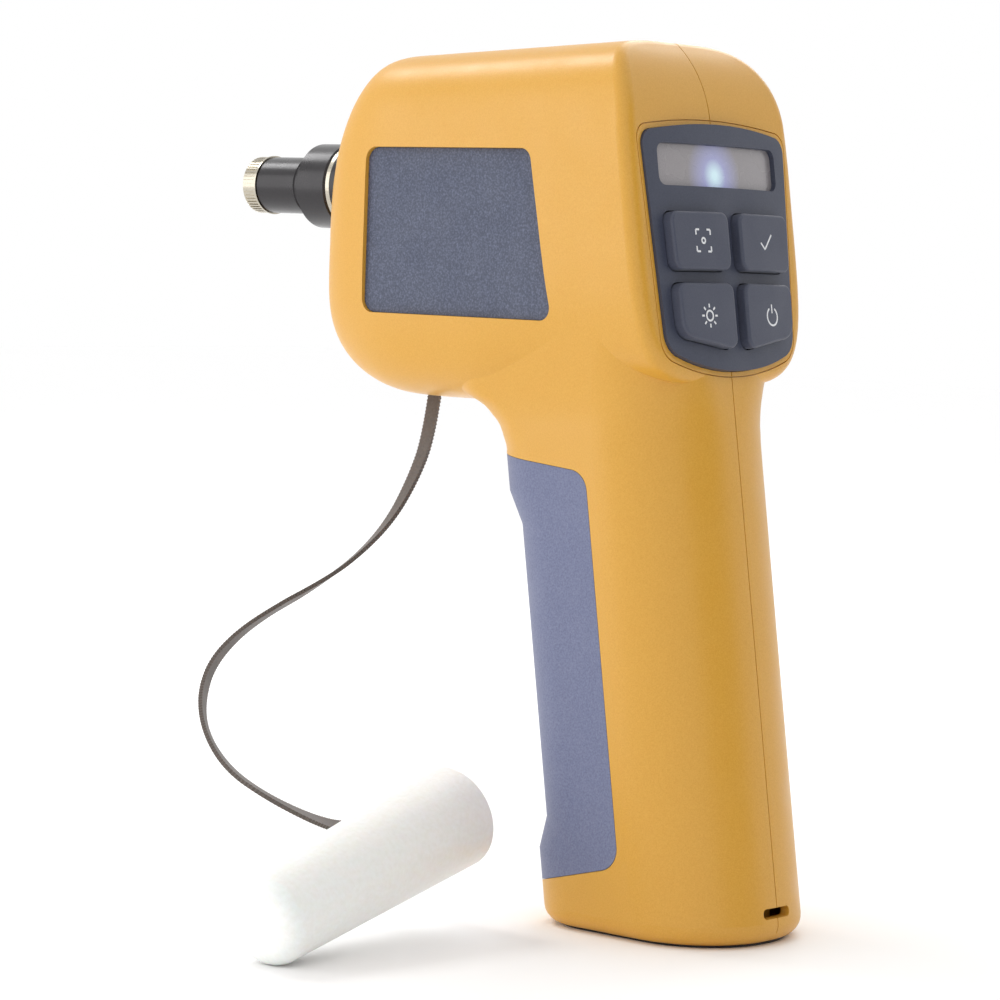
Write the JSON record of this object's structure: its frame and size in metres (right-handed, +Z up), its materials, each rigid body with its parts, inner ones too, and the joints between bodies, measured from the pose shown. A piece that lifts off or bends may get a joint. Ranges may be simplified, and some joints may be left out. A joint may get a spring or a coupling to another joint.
{
  "type": "fibre inspection camera",
  "caption": "Pistol-grip camera for looking at optical fibre end faces, with a probe, a rear keypad, a ferrule tip and a tethered protective cap.",
  "frame": {"origin": "centre of the resting face of the base pad", "axes": "+Z up, +Y forward along the probe, +X to the right of the user who looks at the keypad"},
  "size_m": [0.1315, 0.1613, 0.1898],
  "materials": {
    "yellow_abs": "fine spark-eroded texture, satin moulded ABS blend",
    "panel_blue": "fine leather-grain moulded panel, matt, speckled",
    "soft_grip": "soft-touch overmoulded elastomer, matt",
    "rubber_foot": "moulded rubber, matt",
    "plated_steel": "zinc or nickel plated steel",
    "keypad_plastic": "moulded keypad frame, matt",
    "key_rubber": "silicone rubber keys, matt",
    "smoked_window": "smoked diffusing acrylic",
    "circuit_board": "green solder mask",
    "lamp_glass": "clear lamp bodies",
    "black_anodised": "turned aluminium, satin black anodised",
    "nickel_plate": "nickel plated brass, straight knurl",
    "optical_glass": "polished coated glass",
    "chassis_nylon": "glass-filled nylon, moulded black",
    "battery_sleeve": "steel can in a shrink sleeve",
    "strap_nylon": "moulded nylon strap with finely toothed edges",
    "cap_plastic": "translucent white polyethylene, moulded"
  },
  "bodies": {
    "root": {"base_pad": "rubber_foot", "base_weight": "plated_steel", "battery_cell": "battery_sleeve", "battery_cradle": "plated_steel", "beam_splitter": "optical_glass", "data_socket": "plated_steel", "dust_cap": "cap_plastic", "focus_motor": "plated_steel", "grip_insert": "soft_grip", "guide_rods": "plated_steel", "housing_screws": "plated_steel", "illumination_lamp": "circuit_board", "image_sensor_board": "circuit_board", "key_switches": "plated_steel", "keypad_bezel": "keypad_plastic", "keypad_board": "circuit_board", "lanyard_pin": "plated_steel", "left_housing": "yellow_abs", "left_side_panel": "panel_blue", "lens_barrel": "black_anodised", "main_board": "circuit_board", "objective_cell": "black_anodised", "objective_lens": "optical_glass", "optical_chassis": "chassis_nylon", "port_board": "circuit_board", "probe_flange": "black_anodised", "right_housing": "yellow_abs", "right_side_panel": "panel_blue", "status_lamps": "lamp_glass", "status_window": "smoked_window", "strap_anchor": "strap_nylon", "strap_lug": "cap_plastic", "tether_strap": "strap_nylon", "tip_barrel": "black_anodised"},
    "focus_key_body": {"focus_key": "key_rubber"},
    "test_key_body": {"test_key": "key_rubber"},
    "lamp_key_body": {"lamp_key": "key_rubber"},
    "power_key_body": {"power_key": "key_rubber"},
    "guide_body": {"ferrule_guide": "plated_steel"},
    "nut_body": {"tip_nut": "nickel_plate"},
    "screw_body": {"lead_screw": "plated_steel"},
    "carriage_body": {"focus_carriage": "chassis_nylon", "focus_lens": "optical_glass"}
  },
  "joints": [
    {"name": "focus_key_press", "type": "slide", "parent": "root", "child": "focus_key_body", "axis": [0, 0.988, -0.1547], "range_m": [0, 0.0007], "stiffness_N_per_m": 900},
    {"name": "test_key_press", "type": "slide", "parent": "root", "child": "test_key_body", "axis": [0, 0.988, -0.1547], "range_m": [0, 0.0007], "stiffness_N_per_m": 900},
    {"name": "lamp_key_press", "type": "slide", "parent": "root", "child": "lamp_key_body", "axis": [0, 0.988, -0.1547], "range_m": [0, 0.0007], "stiffness_N_per_m": 900},
    {"name": "power_key_press", "type": "slide", "parent": "root", "child": "power_key_body", "axis": [0, 0.988, -0.1547], "range_m": [0, 0.0007], "stiffness_N_per_m": 900},
    {"name": "tip_travel", "type": "slide", "parent": "root", "child": "guide_body", "axis": [0, 1, 0], "range_m": [0, 0.0015]},
    {"name": "tip_nut_turn", "type": "hinge", "parent": "guide_body", "child": "nut_body", "pos_m": [0, 0.13185, 0.1578], "axis": [0, 1, 0], "range_deg": [0, 1080]},
    {"name": "lead_screw_turn", "type": "hinge", "parent": "root", "child": "screw_body", "pos_m": [0, 0.06, 0.145], "axis": [0, 1, 0], "range_deg": [-724, 724]},
    {"name": "focus_travel", "type": "slide", "parent": "root", "child": "carriage_body", "axis": [0, 1, 0], "range_m": [-0.008, 0.008]}
  ],
  "couplings": [
    {"joint": "tip_travel", "follows": "tip_nut_turn", "m_per_rad": 0.000079577},
    {"joint": "lead_screw_turn", "follows": "focus_travel", "rad_per_m": 1570.8}
  ]
}
